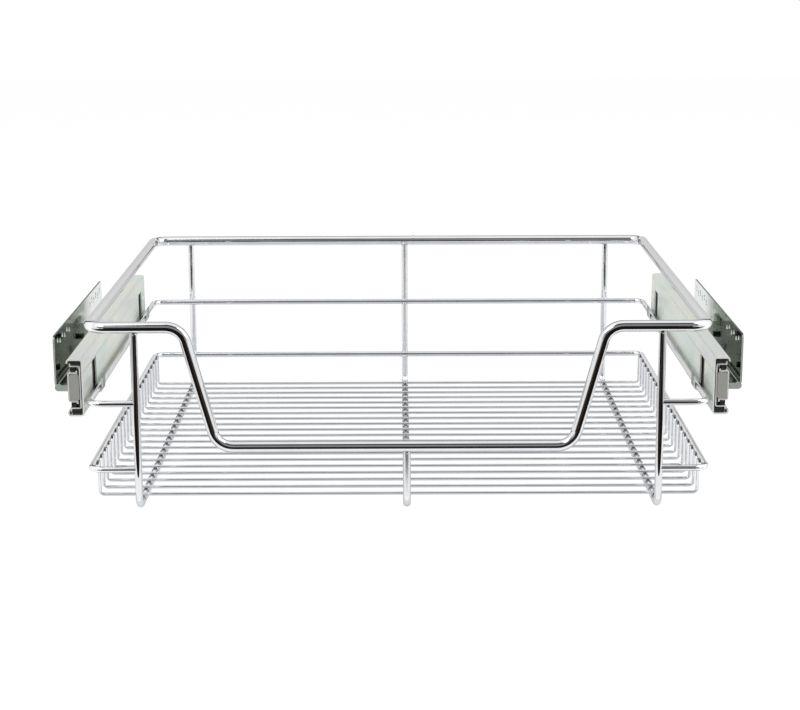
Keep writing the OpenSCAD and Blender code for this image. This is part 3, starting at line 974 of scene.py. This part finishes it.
@dataclass(frozen=True)
class Crossings:
    """Where the wires cross, in metres, found from their own boxes.

    Attributes:
        rows: the floor wires' places, from front to back.
        middles: the base wires' places across, by name.
        rim_side: how far out the rim's welds sit.
        levels: heights of the rim and of the runner wire.
        front: the front posts' middle.
        back: the back posts' inner face.
    """

    rows: list[float]
    middles: dict[str, float]
    rim_side: float
    levels: Span
    front: float
    back: float

    @classmethod
    def measure(cls, count: int = 20, floor_wire: float = 2.5, rim_wire: float = 5.0,
                base_wire: float = 6.0) -> "Crossings":
        """Measures the crossings.

        Args:
            count: how many floor wires there are.
            floor_wire: a floor wire's diameter in millimetres.
            rim_wire: the rim's diameter in millimetres.
            base_wire: a base wire's diameter in millimetres.

        Returns:
            The crossings.
        """
        low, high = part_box("floor_wires")
        first, last = low[1] + floor_wire / 2 * MM, high[1] - floor_wire / 2 * MM
        bases = {word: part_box(f"{word}_base_wire") for word in ("left", "centre", "right")}
        rim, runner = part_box("tray_rim"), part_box("runner_wire")
        return cls(
            rows=[first + (last - first) * i / (count - 1) for i in range(count)],
            middles={word: (box[0][0] + box[1][0]) / 2 for word, box in bases.items()},
            rim_side=rim[1][0] - rim_wire * MM,
            levels=((rim[0][2] + rim[1][2]) / 2, (runner[0][2] + runner[1][2]) / 2),
            front=bases["left"][0][1] + base_wire / 2 * MM,
            back=bases["left"][1][1] - base_wire * MM,
        )


@dataclass(frozen=True)
class WeldBeads:
    """The small welds that hold the wires together. Lengths are in millimetres.

    Attributes:
        dark: the welds' material, near black as painted shade.
        bright: the collars' material.
        floor_at: height of the floor welds.
        floor_half: their half sizes.
        leg_at: height of their legs.
        leg_off: how far a leg stands off, across and along.
        leg_half: the legs' half sizes.
        leg_along: the direction that a leg runs in.
        leg_rings: how many bands of faces a leg has.
        rim_half: the rim welds' half sizes.
        back_half: the back posts' welds' half sizes.
        front_half: the front posts' welds' half sizes.
        front_off: how far these stand off the post's middle.
        collar_half: the collars' half sizes.
        side_top: height of the side posts' tops.
        centre_top: height of the centre post's top.
        lump: how uneven the beads are.
        lump_size: how fine their lumps are.
        stride: how far across and along the noise each bead's own lumps lie, and how high.
    """

    dark: bpy.types.Material
    bright: bpy.types.Material
    floor_at: float = 5.8
    floor_half: Triple = (1.7, 1.7, 1.0)
    leg_at: float = 5.40
    leg_off: Span = (1.55, 2.9)
    leg_half: Triple = (2.3, 0.62, 0.50)
    leg_along: Triple = (2.1, 3.3, -1.3)
    leg_rings: int = 4
    rim_half: Triple = (1.3, 2.1, 1.9)
    back_half: Triple = (2.0, 1.1, 1.9)
    front_half: Triple = (0.9, 2.3, 2.3)
    front_off: float = 3.1
    collar_half: Triple = (3.5, 3.5, 1.5)
    side_top: float = 142.2
    centre_top: float = 46.6
    lump: float = 0.16
    lump_size: float = 1.9
    stride: Triple = (1.37, 0.61, 0.5)

    def add_all(self) -> None:
        """Adds the beads at every crossing."""
        places = Crossings.measure()
        # The dark welds along the floor, the rim and the posts are painted shade and shadow at the crossings.
        self.build("floor_welds_painted_shade", self.floor_welds(places), self.dark)
        rims = [Bead((side * places.rim_side, y, places.levels[0]), self.rim_half)
                for side in SIGNS for y in places.rows]
        self.build("rim_welds_painted_shade", rims, self.dark)
        self.build("post_welds_painted_shade", self.post_welds(places), self.dark)
        tops = {"left": self.side_top, "centre": self.centre_top, "right": self.side_top}
        collars = [Bead((x, places.front, tops[word] * MM), self.collar_half) for word, x in places.middles.items()]
        self.build("post_top_collars", collars, self.bright)

    def floor_welds(self, places: Crossings) -> list[Bead]:
        """Lists the welds under the floor wires, each a bead with four short legs; the dark legs paint the X of
        shade where the wires cross.

        Args:
            places: the crossings.

        Returns:
            The beads, and after them the legs.
        """
        spots = [(x, y) for x in places.middles.values() for y in places.rows]
        beads = [Bead((x, y, self.floor_at * MM), self.floor_half) for x, y in spots]
        (across, forth), (run, rise, drop) = self.leg_off, self.leg_along
        for x, y in spots:
            for a in SIGNS:
                for b in SIGNS:
                    at = (x + a * across * MM, y + b * forth * MM, self.leg_at * MM)
                    beads.append(Bead(at, self.leg_half, (a * run, b * rise, drop), self.leg_rings))
        return beads

    def post_welds(self, places: Crossings) -> list[Bead]:
        """Lists the welds of the rim and of the runner wire on the posts.

        Args:
            places: the crossings.

        Returns:
            The beads of the back posts, and after them those of the front posts.
        """
        beads = [Bead((x, places.back, z), self.back_half) for x in places.middles.values() for z in places.levels]
        for word, side in SIDES.items():
            x = places.middles[word] + side * self.front_off * MM
            beads += [Bead((x, places.front, z), self.front_half) for z in places.levels]
        return beads

    def build(self, name: str, beads: list[Bead], look: bpy.types.Material) -> None:
        """Makes one object of many beads, each a little uneven, that rides on the basket.

        Args:
            name: the object's name.
            beads: the beads.
            look: their material.
        """
        bm = bmesh.new()
        across, along, high = self.stride
        for index, bead in enumerate(beads):
            made = bmesh.ops.create_uvsphere(bm, u_segments=8, v_segments=bead.rings, radius=1.0)
            shift = Vector((index * across, index * along, high))
            turn = Vector(bead.along).to_track_quat("X", "Z").to_matrix()
            for vert in made["verts"]:
                swell = (1.0 + self.lump * noise.noise(vert.co * self.lump_size + shift)) * MM
                vert.co = turn @ Vector(v * h * swell for v, h in zip(vert.co, bead.half)) + Vector(bead.at)
        for face in bm.faces:
            face.smooth = True
        obj = new_object(name, bm, look)
        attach(obj, "basket")
        LOG.info("%s: %d beads", name, len(beads))


@dataclass(frozen=True)
class PlugPair:
    """Two plugs in the upper and the lower ball track of one member. Lengths are in millimetres.

    Attributes:
        name: the piece's name without its side.
        member: the member's name without its side.
        across: how far the plugs reach from the drawer member's web.
        up: how far they reach from the member's middle height.
    """

    name: str
    member: str
    across: Span
    up: Span


@dataclass(frozen=True)
class Bumpers:
    """Black plastic end stops in the slides' ball tracks. Lengths are in millimetres.

    Attributes:
        look: their material.
        pairs: the outer plugs on the drawer member and the inner ones on the intermediate member.
        inset: how far their fronts sit behind the member's front end.
        depth: how deep they are.
        rim: width of the rim around a plug's sunk front.
        sink: how deep that front is sunk.
        soften: how far the edges are rounded.
    """

    look: bpy.types.Material
    pairs: tuple[PlugPair, ...] = (
        PlugPair("drawer_bumpers", "drawer_member", (1.9, 9.2), (17.8, 21.35)),
        PlugPair("intermediate_bumpers", "intermediate_member", (6.3, 10.2), (12.4, 16.0)),
    )
    inset: float = 0.5
    depth: float = 8.0
    rim: float = 0.7
    sink: float = 0.6
    soften: float = 0.35

    def add_all(self) -> None:
        """Adds the plugs of both slides."""
        for word in SIDES:
            for pair in self.pairs:
                body = "basket" if pair.member == "drawer_member" else f"{word}_intermediate"
                self.add_pair(word, pair, body)

    def add_pair(self, word: str, pair: PlugPair, body: str) -> None:
        """Adds the upper and the lower plug of one member.

        Args:
            word: the side, left or right.
            pair: the plugs.
            body: the body that they ride on.
        """
        web = min(abs(x[0]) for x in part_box(f"{word}_drawer_member"))
        low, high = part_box(f"{word}_{pair.member}")
        middle, front = (low[2] + high[2]) / 2, low[1] + self.inset * MM
        bm = bmesh.new()
        for flip in SIGNS:
            xs = sorted(SIDES[word] * (web + x * MM) for x in pair.across)
            zs = sorted(middle + flip * z * MM for z in pair.up)
            self.plug(bm, Vector((xs[0], front, zs[0])), Vector((xs[1], front + self.depth * MM, zs[1])))
        obj = new_object(f"{word}_{pair.name}", bm, self.look)
        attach(obj, body)
        LOG.info("%s on %s", obj.name, body)

    def plug(self, bm: bmesh.types.BMesh, low: Vector, high: Vector) -> None:
        """Adds one softened plug with a sunk front.

        Args:
            bm: the mesh being built.
            low: its lowest corner.
            high: its highest corner.
        """
        made = bmesh.ops.create_cube(bm, size=1.0)["verts"]
        for vert in made:
            vert.co = Vector((low[i] + (vert.co[i] + 0.5) * (high[i] - low[i])) for i in range(3))
        faces = {face for vert in made for face in vert.link_faces}
        nose = min(faces, key=lambda face: face.calc_center_median().y)
        bmesh.ops.inset_region(bm, faces=[nose], thickness=self.rim * MM, depth=0.0)
        bmesh.ops.translate(bm, verts=nose.verts, vec=(0.0, self.sink * MM, 0.0))
        edges = {edge for vert in made for edge in vert.link_edges if all(v in made for v in edge.verts)}
        bmesh.ops.bevel(bm, geom=list(edges), offset=self.soften * MM, offset_type="OFFSET", segments=2,
                        profile=0.5, affect="EDGES", material=-1)


def main() -> None:
    """Builds the scene."""
    logging.basicConfig(level=logging.INFO, format="%(message)s")
    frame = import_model()
    bpy.context.scene.view_settings.view_transform = "Standard"
    Studio().build()
    part = DressedPart(frame)
    part.make_materials()
    part.dress_nodes()
    WeldBeads(part.mats[Look.WELD_PAINTED_SHADE], part.mats[Look.CHROME_WIRE]).add_all()
    Bumpers(part.mats[Look.BLACK_PLASTIC]).add_all()


if __name__ == "__main__":
    main()
